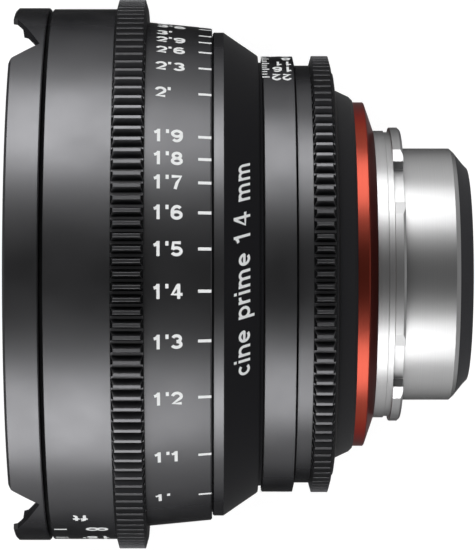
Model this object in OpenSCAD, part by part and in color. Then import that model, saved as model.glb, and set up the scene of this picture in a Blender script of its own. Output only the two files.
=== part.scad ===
// Cinema prime lens with a four-tab breech mount, follow-focus gears and a working iris.
// The optical axis is X and the rear points to +X. The origin is the centre of the mount's seat.
// +Z is the top of the lens. Angles run from +Z towards +Y.

/* [Mount] */
// Diameter of the tube that enters the camera
tube_d = 54; // [53.9:0.02:54.1]
// Length of the tube behind the seat
tube_len = 10.65; // [9:0.05:12]
// Wall of the tube
tube_wall = 2; // [1.6:0.1:2.4]
// Chamfer on the end of the tube
tube_chamfer = 0.9; // [0.5:0.1:1.2]
// Height of the tabs above the tube
tab_h = 4.5; // [4.4:0.05:4.6]
// Thickness of the tabs
tab_t = 2.2; // [1.8:0.1:2.6]
// Half angle of the top and bottom tabs
tab_half = 23.3; // [20:0.1:26]
// Half angle of the side tabs
side_tab_half = 34; // [30:0.1:36]
// Angle that the bevel at each end of a tab takes
tab_bevel = 5.7; // [4:0.1:7]
// Height of the floor between the tabs above the tube
tab_gap_h = 1.5; // [1.2:0.1:2]
// Width of the locating slot in one side tab
pin_slot_w = 3.2; // [2.8:0.1:3.6]
// Depth of that slot
pin_slot_depth = 2.4; // [2:0.1:2.8]
// Height of the neck in front of the tabs above the tube
neck_h = 3.5; // [3.2:0.1:3.7]
// Length of the neck
neck_len = 1.3; // [1:0.1:1.6]
// Height of the mount's front flange above the tube
flange_h = 3.8; // [3.6:0.1:4]
// Length of the mount's front flange
flange_len = 2.3; // [2:0.1:2.6]
// Thickness of the back-focus shim
shim_t = 0.3; // [0.1:0.05:0.5]

/* [Rear barrel and tail] */
// Height of the red ring above the mount's flange
red_h = 6.1; // [5.7:0.1:6.4]
// Length of the red ring's cylinder
red_len = 2.5; // [2:0.1:3]
// Length of the red ring's rear cone
red_cone_len = 1.9; // [1.5:0.1:2.3]
// Step from the red ring up to the rear barrel's rear edge
rear_step = 1.2; // [0.8:0.1:1.6]
// Rise of the rear barrel's cone towards the iris ring
rear_rise = 1.4; // [1:0.1:1.8]
// Length of the rear barrel's cone
rear_len = 3; // [2.5:0.1:3.5]
// Length of the tail behind the tube's chamfer
tail_len = 2.9; // [2.4:0.1:3.4]
// Diameter of the tail's rear edge
tail_d = 47.2; // [46:0.1:48]

/* [Iris ring] */
// Width of the iris gear
iris_gear_w = 4.5; // [4:0.1:5]
// Step from the T scale band down to the plain part in front of the iris gear
iris_neck_step = 1.95; // [1.7:0.05:2.2]
// Length of that plain part
iris_neck_len = 3.1; // [2.6:0.1:3.6]
// Diameter of the T scale band
iris_band_d = 93.4; // [92.6:0.1:94]
// Length of the T scale band
iris_band_len = 6.55; // [6.2:0.05:7]
// Wall between the T scale band and the bearing that the iris ring turns on
iris_ring_wall = 4.8; // [4.5:0.1:5]

/* [Index barrel] */
// Step from the focus ring's front part down to the land beside the focus scale
index_drop = 5; // [4.8:0.1:5.3]
// Length of that land
index_len = 2.3; // [1.8:0.1:2.8]
// Step from the T scale band up to the rear end of the cone
index_back_step = 0.3; // [0.1:0.1:0.6]
// Length of the cone
index_cone_len = 7.3; // [6.8:0.1:8]
// Width of the groove in front of the iris ring
groove_w = 0.7; // [0.5:0.1:1]
// Depth of that groove below the T scale band
groove_depth = 1.3; // [0.9:0.1:1.7]

/* [Focus ring] */
// Width of the focus gear
focus_gear_w = 6.6; // [6:0.1:7]
// Step from the plain front part down to the scale cone's front end
scale_front_drop = 2.8; // [2.5:0.1:3]
// Step from the plain front part down to the scale cone's rear end
scale_back_drop = 4.1; // [3.8:0.1:4.3]
// Length of the scale cone
scale_len = 13.6; // [13:0.1:14.4]
// Step from the front ring down to the plain front part
focus_drop = 0.2; // [0.1:0.05:0.5]
// Length of the plain front part
focus_len = 14.1; // [13.4:0.1:15]
// Wall between the plain front part and the bearing that the focus ring turns on
focus_wall = 5.8; // [5.6:0.1:6]
// Turn from rest to infinity
focus_to_far = 27.1; // [20:0.1:30]
// Turn from rest to the nearest distance
focus_to_near = 171.6; // [160:0.1:175]
// Travel of the optics over the whole focus turn
focus_travel = 1.6; // [1.2:0.1:1.8]

/* [Front ring] */
// Diameter of the front ring
front_d = 114; // [113.9:0.05:114.1]
// Length of the front ring
front_len = 7.1; // [6.8:0.1:7.6]
// Angle of the notches from the top and the bottom
notch_angle = 56.1; // [54:0.1:58]
// Depth of the notches
notch_depth = 6.1; // [5:0.1:6.2]

/* [Iris] */
// Radius of the ring of blade pivots
pivot_r = 16; // [15.6:0.1:16.4]
// Radius of a blade's curved inner edge
blade_inner_r = 6.4; // [6.2:0.05:6.6]
// Radius of a blade's outer edge
blade_outer_r = 12.5; // [11.5:0.1:12.8]
// Thickness of a blade
blade_t = 0.12; // [0.1:0.01:0.15]
// Spacing of the blades along the axis
blade_pitch = 0.2; // [0.18:0.01:0.24]
// Turn of the iris ring from rest to wide open
iris_to_open = 15.8; // [14:0.1:17]
// Turn of the iris ring from rest to closed
iris_to_closed = 24.2; // [22:0.1:25]

/* [Clearances] */
// Radial clearance of turning and sliding fits
running = 0.05; // [0.03:0.01:0.08]
// Radial clearance of seats that do not move
seat_gap = 0.02; // [0.01:0.01:0.04]
// Axial play between turning rings and what holds them
play = 0.1; // [0.05:0.05:0.2]

/* [Hidden] */
$fn = 96;
// Number of iris blades, each of them a node of its own
blade_count = 9;

// A little more than a face, for cuts
over = 1;

// Places along the axis, from the seat of the mount forward
x_tab = -tab_t;
x_neck = x_tab - neck_len;
x_flange = x_neck - flange_len;
x_shim = x_flange - shim_t;
x_red_edge = x_flange - red_cone_len;
x_red = x_red_edge - red_len;
rear_chamfer = 0.7;
x_rear_edge = x_red - rear_chamfer;
x_rear = x_rear_edge - rear_len;
rear_collar_t = 0.9;
x_barrel_end = x_rear - rear_collar_t;
x_iris_end = x_barrel_end - play;
x_iris_gear = x_iris_end - iris_gear_w;
x_iris_neck = x_iris_gear - iris_neck_len;
iris_chamfer_len = 0.45;
x_iris_band = x_iris_neck - iris_chamfer_len;
x_iris_front = x_iris_band - iris_band_len;
x_index_end = x_iris_front - play;
x_groove = x_index_end - groove_w;
x_index_cone = x_groove - index_cone_len;
x_index = x_index_cone - index_len;
x_focus_end = x_index - play;
x_scale = x_focus_end - scale_len;
x_focus_gear = x_scale - focus_gear_w;
x_focus_front = x_focus_gear - focus_len;
x_front_back = x_focus_front - play;
x_front = x_front_back - front_len;

// Radii of the mount, from the tube outwards
tube_r = tube_d / 2;
tab_r = tube_r + tab_h;
tab_gap_r = tube_r + tab_gap_h;
neck_r = tube_r + neck_h;
flange_r = tube_r + flange_h;
red_r = flange_r + red_h;
rear_back_r = red_r + rear_step;
rear_front_r = rear_back_r + rear_rise;

// Radii of the outside, from the front ring and from the T scale band
front_r = front_d / 2;
focus_r = front_r - focus_drop;
scale_front_r = focus_r - scale_front_drop;
scale_back_r = focus_r - scale_back_drop;
index_r = focus_r - index_drop;
iris_band_r = iris_band_d / 2;
iris_neck_r = iris_band_r - iris_neck_step;
index_back_r = iris_band_r + index_back_step;
groove_r = iris_band_r - groove_depth;

// Main barrel
front_tube_r = focus_r - focus_wall;
front_bore_r = front_tube_r - 2.4;
shoulder_bore_r = front_bore_r - 1.6;
rear_tube_r = iris_band_r - iris_ring_wall;
rear_bore_r = rear_tube_r - 2.4;
front_ring_grip = 2;
hood_wall = 1.5;
hood_floor = 0.8;
hood_sleeve = 1.2;
dust_ring_t = 1.5;
dust_gap = 0.3;
x_barrel_front = x_front_back - front_ring_grip;
web_t = 3.5;
x_web = x_index - web_t;

// Focusing thread: a nut in the main barrel and the carriage inside the nut
nut_wall = 3;
nut_len = 11.8;
x_shoulder = x_web - 6.9;
x_nut_end = x_shoulder - play;
x_nut = x_nut_end - nut_len;
nut_bore_r = front_bore_r - running - nut_wall;
lock_len = 2.9;
lock_gap = 0.8;
x_lock = x_nut - play - lock_len;
carriage_r = nut_bore_r - running;
carriage_wall = 3.15;
carriage_bore_r = carriage_r - carriage_wall;
carriage_gap = 0.7;
x_carriage_step = x_web - carriage_gap;
carriage_web_t = 3;
carriage_len = 25.5;
x_carriage = x_carriage_step - carriage_len;
carriage_rear_r = rear_bore_r - 2.5;
carriage_rear_bore_r = carriage_rear_r - 2.55;
carriage_ledge_w = 1.2;
mm_per_degree = focus_travel / (focus_to_far + focus_to_near);
travel_back = mm_per_degree * focus_to_far;
travel_forward = mm_per_degree * focus_to_near;

// Keys
guide_key_w = 4;
guide_key_len = 4;
guide_key_depth = 2;
guide_key_seat = 1.2;
key_room = 1.5;
key_gap = 0.3;
guide_angles = [30, 150, 270];
x_guide_key = x_carriage_step - guide_key_len - 0.9;
drive_key_w = 6;
drive_key_len = 6;
drive_key_angle = 180;
drive_key_gap = 0.2;
drive_key_seat = 1.6;
x_drive_key = x_focus_gear + focus_gear_w / 2;
stop_margin = 0.4;
drive_slot_half = asin(drive_key_w / 2 / front_bore_r) + stop_margin;

// Gears of the usual follow-focus module
gear_module = 0.8;
pressure_angle = 20;
gear_root = 1.25 * gear_module;
focus_tip_rise = 2;
iris_tip_rise = 0.1;
focus_teeth = round(2 * (focus_r + focus_tip_rise) / gear_module) - 2;
iris_teeth = round(2 * (iris_band_r + iris_tip_rise) / gear_module) - 2;
focus_pitch_r = gear_module * focus_teeth / 2;
iris_pitch_r = gear_module * iris_teeth / 2;
gear_end_slope = 0.55;
gear_end_step = 0.2;
focus_gear_bore_r = focus_pitch_r - gear_root - 2;
iris_gear_bore_r = iris_pitch_r - gear_root - 1.4;
drive_screw_top = focus_gear_bore_r - 0.3;

// Glass in the front cell: rim radius and the planes of each rim
front_cell_wall = 6.35;
rim_1 = carriage_bore_r - front_cell_wall;
x_rim_1 = x_carriage + 2;
rim_1_len = 10.8;
rim_2 = rim_1 - 11;
ring_2_len = 2.5;
x_rim_2 = x_rim_1 + rim_1_len + ring_2_len;
rim_2_len = 2.5;
rim_3 = rim_2 - 8;
cell_web_t = 2.5;
x_rim_3 = x_rim_2 + rim_2_len + cell_web_t;
rim_3_len = 8;
x_front_cell_end = x_rim_3 + rim_3_len + 1.5;
front_cell_hub_r = rim_3 + 3;
front_cell_nose = 5.4;
x_front_cell = x_carriage - front_cell_nose;
front_lip_r = carriage_r - 0.15;
front_lip_w = 1;
lock_1_len = 2;
lock_1_wall = 1.5;
lock_1_lip = 0.5;
lock_2_wall = 2.5;
lock_3_wall = 3.5;
baffle_steps = 6;
// Width of the flat edge round the hollow back of each front element
hollow_edges = [9.5, 10.5, 4];

// Iris stack
x_iris_pin = x_iris_front + iris_band_len / 2;
iris_pin_r = 1;
cam_t = 2;
x_cam = x_iris_pin - cam_t / 2;
stack_gap = 0.1;
stack_len = blade_count * blade_pitch;
x_blades = x_cam - stack_gap - stack_len;
base_t = 1.5;
x_base_back = x_blades - stack_gap;
x_base = x_base_back - base_t;
cam_r = pivot_r + 4;
iris_wall = 2.25;
cover_t = 1.2;
x_cover = x_cam + cam_t + stack_gap;
pivot_pin_r = 0.5;
pivot_depth = 1;
drive_pin_r = 0.4;
drive_pin_angle = 18;
drive_depth = 1;
blade_start = -5;
blade_end = 125;
blade_ear_margin = 0.9;
blade_ear_overlap = 0.5;
blade_ear_r = pivot_r + blade_ear_margin;
blade_ratio = 0.5;
blade_rest = blade_ratio * iris_to_open;
blade_turn = blade_ratio * (iris_to_open + iris_to_closed);
fork_r = carriage_rear_bore_r - 2.95;
fork_gap_r = cam_r + iris_wall + 0.8;
fork_w = 2;
fork_angle = 180;
iris_pin_inner_r = fork_gap_r + 1.95;
iris_pin_top = iris_band_r - 1;
aperture_r = blade_inner_r - 0.1;

// Doublet in front of the iris
rim_4 = 12;
hub_4_wall = 3;
seat_4 = 0.8;
rim_5_len = 2;
rim_4_len = 3;
x_rim_5 = x_base - seat_4 - rim_5_len;
x_rim_4 = x_rim_5 - rim_4_len;
ring_4_len = 2;

// Bend of each glass surface: its radius of curvature over its clear radius
front_bends = [[2.27, -1.132], [1.875, -1.172], [-3.75, -1.923]];
middle_bends = [[2.545, 3.636], [-3.636, 6.364]];
rear_bends = [[3.333, 2.444], [-2.444, -6.667], [5, 2.167], [-2.167, 7.5], [3.333, 3], [-3.143, 4]];
clear_edge = 1;
air_gap = 0.4;

// Rear cell
tube_bore_r = tube_r - tube_wall;
rear_cell_room = 2;
rear_cell_r = tube_bore_r - rear_cell_room;
rear_cell_tip_r = rear_cell_r - 2.5;
rear_cell_taper = 4;
ring_bore = 0.7;
rim_11 = rear_cell_r - 4.5;
rim_10 = rim_11 - 2.5;
rim_8 = rim_10 - 3;
rim_6 = rim_8 - 3;
x_rear_cell = x_cover + cover_t + 0.6;
rear_flange_t = 2.2;
x_rear_flange_end = x_rear_cell + rear_flange_t;
lock_ring_len = 2;
lock_ring_wall = 2.5;
x_carriage_end = x_rear_flange_end + lock_ring_len + 0.5;
x_rim_6 = x_rear_cell + bulge(rear_bends[0][0], rim_6 - clear_edge) + 3 * air_gap;
rim_6_len = 3;
rim_7_len = 3.5;
x_rim_7 = x_rim_6 + rim_6_len;
x_ring_5 = x_rim_7 + rim_7_len;
ring_5_len = 1.5;
x_rim_8 = x_ring_5 + ring_5_len + bulge(rear_bends[2][0], rim_8 - clear_edge) + 2 * air_gap;
rim_8_len = 2.5;
rim_9_len = 4;
x_rim_9 = x_rim_8 + rim_8_len;
x_ring_6 = x_rim_9 + rim_9_len;
ring_6_len = 1.7;
x_rim_10 = x_ring_6 + bulge(rear_bends[3][1], rim_8 - clear_edge)
    + bulge(rear_bends[4][0], rim_10 - clear_edge) + air_gap;
rim_10_len = 3;
x_spacer = x_rim_10 + rim_10_len;
spacer_len = 3.5;
x_rim_11 = x_spacer + spacer_len;
rim_11_len = 3;
x_ring_7 = x_rim_11 + rim_11_len;
ring_7_len = 1.7;
x_rear_cell_end = x_ring_7 + ring_7_len + 0.2;

// Tail
x_tube_slope = tube_len + tube_chamfer;
tail_front_r = tube_r - 0.8;
tail_spigot = 6;
x_tail_end = x_tube_slope + tail_len;
tail_wall = 1.4;
tail_lip_w = 3.6;
tail_lip_r = tail_d / 2 - tail_lip_w;

// Screws, with countersunk heads a little below the face
screw_r = 0.8;
screw_head_r = 1.5;
screw_head_t = 0.8;
screw_sink = 0.2;
screw_land = 0.1;
socket_r = 0.75;
socket_depth = 0.55;
// Slots that a spanner turns a retaining ring by
spanner_w = 1.6;
spanner_depth = 0.9;
mount_screw_circle = (tube_r + tab_r) / 2;
mount_screw_len = 9;
mount_screw_angles = [-12, 12, 70, 110, 168, 192, 250, 290];
index_screw_circle = (front_tube_r + rear_tube_r) / 2;
index_screw_len = 8;
index_screw_angles = [90, 210, 330];
rear_screw_angles = [45, 135, 225, 315];

// Spigot of the rear barrel, which sits in the main barrel
rear_spigot = 3.4;
rear_spigot_wall = 2.5;
tab_pitch = 90;

function bulge(bend, clear) = clear * (abs(bend) - sqrt(bend * bend - 1));
function polar(r, angle) = [r * cos(angle), r * sin(angle)];
function turn(p, angle) = [p[0] * cos(angle) - p[1] * sin(angle), p[0] * sin(angle) + p[1] * cos(angle)];

// Turns a profile of [radius, place along the axis] about the optical axis
module turned(points) {
    rotate([0, 90, 0]) rotate_extrude() polygon(points);
}

// Puts something made on the top of the lens at an angle round the axis
module around(angle) {
    rotate([-angle, 0, 0]) children();
}

// Makes a plate across the axis from a flat outline with +Z to its right and +Y up
module plate(x, t) {
    translate([x + t, 0, 0]) rotate([0, -90, 0]) linear_extrude(t) children();
}

// A plain ring between two radii and two places
module ring(outer_r, inner_r, x, len) {
    turned([[inner_r, x], [outer_r, x], [outer_r, x + len], [inner_r, x + len]]);
}

// A flat sector of a disc, from one angle to another
module sector(r, from, to) {
    steps = max(2, ceil((to - from) / 30));
    reach = r / cos((to - from) / steps / 2);
    polygon(concat([[0, 0]], [for (i = [0:steps]) polar(reach, from + (to - from) * i / steps)]));
}

// A slot through a wall, part of the way round the axis
module arc_slot(outer_r, inner_r, x, len, from, to) {
    plate(x, len) difference() {
        sector(outer_r, from, to);
        circle(inner_r);
    }
}

// The hexagon socket in the head of a screw, with its mouth at the origin
module socket() {
    cylinder(r = socket_r, h = 2 * socket_depth, center = true, $fn = 6);
}

// Two slots across the face of a retaining ring
module spanner_slots(x, outer_r) {
    for (a = [90, 270]) around(a)
        translate([x - spanner_depth, -spanner_w / 2, outer_r / 2])
            cube([2 * spanner_depth, spanner_w, outer_r]);
}

// A lens element: a rim with a curved middle on each side. A positive bend bulges outwards.
module element(rim, x, len, bends, front_clear, back_clear, cement = 0) {
    front_curve = bends[0] * front_clear;
    back_curve = bends[1] * back_clear;
    front_sag = bulge(bends[0], front_clear);
    back_sag = bulge(bends[1], back_clear);
    root = len / 4;
    rotate([0, 90, 0]) rotate_extrude() difference() {
        union() {
            translate([0, x]) square([rim, len]);
            if (front_curve > 0)
                cap(front_curve, front_clear, x - front_sag + front_curve, x - front_sag, front_sag + root);
            if (back_curve > 0)
                cap(back_curve, back_clear, x + len + back_sag - back_curve, x + len - root, back_sag + root);
        }
        if (front_curve < 0) translate([0, x + front_sag + cement + front_curve]) circle(-front_curve);
        if (back_curve < 0) translate([0, x + len - back_sag - back_curve]) circle(-back_curve);
    }
}

// The flat section of a lens element's bulge, which reaches a little into the rim
module cap(curve, clear, centre, x, len) {
    intersection() {
        translate([0, centre]) circle(curve);
        translate([0, x]) square([clear, len]);
    }
}

// The outline of a gear's teeth, with involute flanks drawn from root to tip
module gear_outline(teeth) {
    pitch_r = gear_module * teeth / 2;
    base_r = pitch_r * cos(pressure_angle);
    radii = [pitch_r - gear_root, pitch_r, pitch_r + gear_module];
    half_at = [for (r = radii) 90 / teeth + involute(pressure_angle) - involute(acos(min(1, base_r / r)))];
    polygon([for (i = [0:teeth - 1], k = [0:5])
        polar(radii[k < 3 ? k : 5 - k], i * 360 / teeth + (k < 3 ? -half_at[k] : half_at[5 - k]))]);
}

function involute(angle) = tan(angle) * 180 / PI - angle;

// A gear ring with sloping tooth ends
module gear_ring(teeth, bore_r, x, width) {
    tip_r = gear_module * (teeth + 2) / 2;
    root_r = gear_module * teeth / 2 - gear_root;
    outer_r = tip_r + over;
    low_r = root_r - gear_end_step;
    slope = gear_end_slope / (tip_r - low_r);
    end = gear_end_slope + slope * over;
    intersection() {
        plate(x, width) gear_outline(teeth);
        turned([[bore_r, x], [low_r, x], [outer_r, x + end],
            [outer_r, x + width - end], [low_r, x + width], [bore_r, x + width]]);
    }
}

module front_ring() {
    r = front_r;
    edge = 0.5;
    grip_r = front_tube_r + seat_gap;
    hood_r = r - hood_wall;
    sleeve_r = grip_r + hood_sleeve;
    x_hood_end = x_front_back - hood_floor;
    color("#1d1d1f") difference() {
        turned([[grip_r, x_front_back], [r - edge / 2, x_front_back], [r, x_front_back - edge / 2],
            [r, x_front + edge], [r - edge, x_front], [hood_r, x_front], [hood_r, x_hood_end],
            [sleeve_r, x_hood_end], [sleeve_r, x_barrel_front], [grip_r, x_barrel_front]]);
        for (end = [0, 180], side = [0, 1])
            around(end) mirror([0, side, 0]) around(notch_angle) front_notch();
    }
}

// One notch of the front ring: steep and round towards the wide petal, gentle towards the narrow one
module front_notch() {
    gentle = 13;
    steep = 5.1;
    round_r = 3;
    lip = 0.9;
    y_round = -steep - round_r * sin(45);
    linear_extrude(front_r + over)
        polygon(concat([[x_front + notch_depth, 0], [x_front + lip, gentle], [x_front - over, gentle + 1.2],
            [x_front - over, y_round]],
            [for (a = [9:9:45]) [x_front + round_r * (1 - cos(a)), y_round + round_r * sin(a)]]));
}

module main_barrel() {
    color("#2a2a2d") difference() {
        turned([[front_bore_r, x_barrel_front], [front_tube_r, x_barrel_front], [front_tube_r, x_index],
            [rear_tube_r, x_index], [rear_tube_r, x_barrel_end], [rear_bore_r, x_barrel_end],
            [rear_bore_r, x_web], [shoulder_bore_r, x_web], [shoulder_bore_r, x_shoulder],
            [front_bore_r, x_shoulder]]);
        arc_slot(front_tube_r + over, shoulder_bore_r, x_drive_key - drive_key_len / 2 - drive_key_gap,
            drive_key_len + 2 * drive_key_gap, drive_key_angle - focus_to_far - drive_slot_half,
            drive_key_angle + focus_to_near + drive_slot_half);
        iris_pin_slot(rear_tube_r + over, rear_bore_r - over, iris_pin_r + running, iris_pin_r + running);
        for (a = guide_angles) around(a) {
            guide_key_seat_cut();
            guide_screw(seat_gap);
        }
        for (a = index_screw_angles) around(a) index_screw(seat_gap);
        for (a = rear_screw_angles) around(a) rear_screw(seat_gap);
    }
}

// The opening that the iris drive pin sweeps through a wall, with room in front of and behind the pin
module iris_pin_slot(outer_r, inner_r, before, behind) {
    half = asin((iris_pin_r + running) / inner_r) + stop_margin;
    arc_slot(outer_r, inner_r, x_iris_pin - before, before + behind,
        fork_angle - iris_to_open - half, fork_angle + iris_to_closed + half);
}

module dust_ring() {
    color("#202022") ring(front_bore_r - seat_gap, carriage_r + dust_gap, x_barrel_front, dust_ring_t);
}

module helicoid_retaining_ring() {
    color("#c9a24c") difference() {
        ring(front_bore_r - seat_gap, nut_bore_r + lock_gap, x_lock, lock_len);
        spanner_slots(x_lock, front_bore_r);
    }
}

// The seat of a guide key in the main barrel's wall
module guide_key_seat_cut() {
    translate([x_guide_key - seat_gap, -guide_key_w / 2 - seat_gap, 0])
        cube([guide_key_len + 2 * seat_gap, guide_key_w + 2 * seat_gap, shoulder_bore_r + guide_key_seat]);
}

module guide_keys() {
    base = carriage_r - guide_key_depth;
    color("#b08d3f") for (a = guide_angles) around(a) difference() {
        translate([x_guide_key, -guide_key_w / 2, base])
            cube([guide_key_len, guide_key_w, shoulder_bore_r + guide_key_seat - base]);
        guide_screw(seat_gap);
    }
}

// The screw of a guide key, or with a clearance the hole for it
module guide_screw(gap) {
    translate([x_guide_key + guide_key_len / 2, 0, 0]) {
        translate([0, 0, carriage_r]) cylinder(r = screw_r + gap, h = front_tube_r - carriage_r);
        translate([0, 0, front_tube_r - screw_head_t - screw_sink])
            cylinder(r1 = screw_r + gap, r2 = screw_head_r + gap, h = screw_head_t);
        translate([0, 0, front_tube_r - screw_sink]) cylinder(r = screw_head_r + gap, h = gap > 0 ? over : screw_land);
    }
}

module guide_key_screws() {
    color("#8f9092") for (a = guide_angles) around(a) difference() {
        guide_screw(0);
        translate([x_guide_key + guide_key_len / 2, 0, front_tube_r - screw_sink + screw_land]) socket();
    }
}

// A screw that holds the index barrel to the main barrel's web, or with a clearance the hole for it
module index_screw(gap) {
    translate([x_web, 0, index_screw_circle]) rotate([0, 90, 0]) {
        cylinder(r = screw_r + gap, h = index_screw_len + gap);
        translate([0, 0, gap > 0 ? -gap : 0])
            cylinder(r1 = screw_head_r + gap, r2 = screw_r + gap, h = screw_head_t + gap);
    }
}

module index_barrel() {
    edge = 0.3;
    bore_r = rear_tube_r + seat_gap;
    color("#19191b") difference() {
        turned([[bore_r, x_index], [index_r - edge, x_index], [index_r, x_index + edge], [index_r, x_index_cone],
            [index_back_r, x_groove - edge], [index_back_r - edge, x_groove], [groove_r, x_groove],
            [groove_r, x_index_end], [bore_r, x_index_end]]);
        for (a = index_screw_angles) around(a) index_screw(seat_gap);
    }
}

module index_barrel_screws() {
    color("#8f9092") for (a = index_screw_angles) around(a) difference() {
        index_screw(0);
        translate([x_web, 0, index_screw_circle]) rotate([0, 90, 0]) socket();
    }
}

// A screw through the main barrel into the rear barrel's spigot, or with a clearance the hole for it
module rear_screw(gap) {
    translate([x_barrel_end - rear_spigot / 2, 0, 0]) {
        translate([0, 0, rear_bore_r - rear_spigot_wall + 0.5])
            cylinder(r = screw_r + gap, h = rear_tube_r - rear_bore_r + rear_spigot_wall - 1);
        translate([0, 0, rear_tube_r - screw_head_t - screw_sink])
            cylinder(r1 = screw_r + gap, r2 = screw_head_r + gap, h = screw_head_t);
        translate([0, 0, rear_tube_r - screw_sink]) cylinder(r = screw_head_r + gap, h = gap > 0 ? over : screw_land);
    }
}

module rear_barrel() {
    spigot_r = rear_bore_r - seat_gap;
    bore_r = tube_bore_r + 0.2;
    seat_r = flange_r;
    color("#19191b") difference() {
        turned([[spigot_r - rear_spigot_wall, x_barrel_end - rear_spigot], [spigot_r, x_barrel_end - rear_spigot],
            [spigot_r, x_barrel_end], [rear_tube_r + 1.2, x_barrel_end], [rear_tube_r + 1.2, x_barrel_end + 0.4],
            [rear_front_r, x_rear], [rear_back_r, x_rear_edge], [rear_back_r - rear_chamfer, x_red],
            [seat_r, x_red], [seat_r, x_shim], [bore_r, x_shim], [bore_r, x_red - 0.6],
            [spigot_r - rear_spigot_wall, x_barrel_end]]);
        for (a = rear_screw_angles) around(a) rear_screw(seat_gap);
        for (a = mount_screw_angles) around(a) mount_screw(seat_gap);
    }
}

module rear_barrel_screws() {
    color("#8f9092") for (a = rear_screw_angles) around(a) difference() {
        rear_screw(0);
        translate([x_barrel_end - rear_spigot / 2, 0, rear_tube_r - screw_sink + screw_land]) socket();
    }
}

module red_ring() {
    bore_r = flange_r + seat_gap;
    land = 0.4;
    edge = 0.2;
    color("#b3261c") turned([[bore_r, x_red], [red_r, x_red], [red_r, x_red_edge - edge],
        [red_r - edge, x_red_edge], [bore_r + land, x_flange], [bore_r, x_flange]]);
}

module mount_shim() {
    color("#c8c9c6") difference() {
        ring(flange_r - 0.1, tube_bore_r + 0.4, x_shim, shim_t);
        for (a = mount_screw_angles) around(a) mount_screw(seat_gap);
    }
}

// A screw through the mount into the rear barrel, or with a clearance the hole for it
module mount_screw(gap) {
    translate([0, 0, mount_screw_circle]) rotate([0, -90, 0]) {
        cylinder(r = screw_r + gap, h = mount_screw_len + gap);
        translate([0, 0, screw_land]) cylinder(r1 = screw_head_r + gap, r2 = screw_r + gap, h = screw_head_t);
        translate([0, 0, gap > 0 ? -over : 0])
            cylinder(r = screw_head_r + gap, h = gap > 0 ? over + screw_land : screw_land);
    }
}

module pl_mount() {
    edge = 0.5;
    color("#cfd1d3") difference() {
        turned([[tube_bore_r, x_flange], [flange_r, x_flange], [flange_r, x_neck], [neck_r, x_neck],
            [neck_r, x_tab], [tab_r, x_tab], [tab_r, -edge], [tab_r - edge, 0], [tube_r, 0],
            [tube_r, tube_len], [tail_front_r, x_tube_slope], [tube_bore_r, x_tube_slope]]);
        for (a = [0:tab_pitch:270]) around(a) mirror_y() tab_gap(a % 180 == 0 ? tab_half : side_tab_half);
        around(270) translate([x_tab - over, -pin_slot_w / 2, tab_r - pin_slot_depth])
            cube([tab_t + 2 * over, pin_slot_w, pin_slot_depth + over]);
        for (a = mount_screw_angles) around(a) mount_screw(seat_gap);
    }
}

// Makes something and its mirror image on the other side of the XZ plane
module mirror_y() {
    children();
    mirror([0, 1, 0]) children();
}

// Cuts half of the gap beside a tab: first a flat bevel across the tab's end, then the floor
module tab_gap(half) {
    outer = tab_r;
    bevel_end = half + tab_bevel;
    bevel_r = outer - 0.9;
    p = polar(outer, half);
    q = polar(bevel_r, bevel_end);
    away = polar(outer + over, (half + bevel_end) / 2);
    plate(x_tab, tab_t + over) {
        polygon([p, q, polar(outer + over, bevel_end), away]);
        difference() {
            sector(outer + over, bevel_end, tab_pitch / 2);
            circle(tab_gap_r);
        }
    }
}

module mount_screws() {
    color("#8f9092") for (a = mount_screw_angles) around(a) difference() {
        mount_screw(0);
        translate([0, 0, mount_screw_circle]) rotate([0, 90, 0]) socket();
    }
}

module rear_baffle() {
    spigot_r = tube_bore_r - seat_gap;
    corner = 0.8;
    inner_r = spigot_r - tail_wall;
    color("#262628") turned([[inner_r, x_tube_slope - tail_spigot], [spigot_r, x_tube_slope - tail_spigot],
        [spigot_r, x_tube_slope], [tail_front_r, x_tube_slope], [tail_d / 2, x_tail_end - corner],
        [tail_d / 2 - corner, x_tail_end], [tail_lip_r, x_tail_end], [tail_lip_r, x_tail_end - 1],
        [inner_r, x_tube_slope]]);
}

module focus_ring() {
    bore_r = front_tube_r + running;
    relief_r = bore_r + 0.6;
    hollow_r = bore_r + 2.8;
    land = 3;
    chamfer = 0.8;
    r = focus_r;
    seat_r = focus_gear_bore_r - seat_gap;
    end_edge = 0.3;
    color("#19191b") difference() {
        turned([[bore_r, x_focus_front], [r - 1, x_focus_front], [r, x_focus_front + chamfer],
            [r, x_focus_gear], [seat_r, x_focus_gear], [seat_r, x_scale], [scale_front_r, x_scale],
            [scale_back_r, x_focus_end - end_edge], [scale_back_r - end_edge, x_focus_end],
            [bore_r, x_focus_end], [bore_r, x_focus_end - 2 * land], [relief_r, x_focus_end - 2 * land - 0.6],
            [relief_r, x_focus_gear - 0.6], [hollow_r, x_focus_gear - 1.8], [hollow_r, x_focus_front + land + 2.4],
            [bore_r, x_focus_front + land]]);
        around(drive_key_angle) drive_key_block(seat_gap);
        around(drive_key_angle) drive_key_screw(seat_gap);
    }
}

module focus_gear() {
    color("#161618") gear_ring(focus_teeth, focus_gear_bore_r, x_focus_gear, focus_gear_w);
}

// The block that ties the focus ring to the focusing nut, or with a clearance its seats
module drive_key_block(gap) {
    base = front_bore_r - drive_key_seat;
    top = front_tube_r + running + drive_key_seat;
    translate([x_drive_key - drive_key_len / 2 - gap, -drive_key_w / 2 - gap, base - gap])
        cube([drive_key_len + 2 * gap, drive_key_w + 2 * gap, top - base + 2 * gap]);
}

// The screw through the focus ring into the drive key, under the gear, or with a clearance its hole
module drive_key_screw(gap) {
    translate([x_drive_key, 0, 0]) {
        translate([0, 0, front_bore_r]) cylinder(r = screw_r + gap, h = drive_screw_top - front_bore_r);
        translate([0, 0, drive_screw_top - screw_head_t])
            cylinder(r1 = screw_r + gap, r2 = screw_head_r + gap, h = screw_head_t);
        translate([0, 0, drive_screw_top]) cylinder(r = screw_head_r + gap, h = gap > 0 ? over : screw_land);
    }
}

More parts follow.
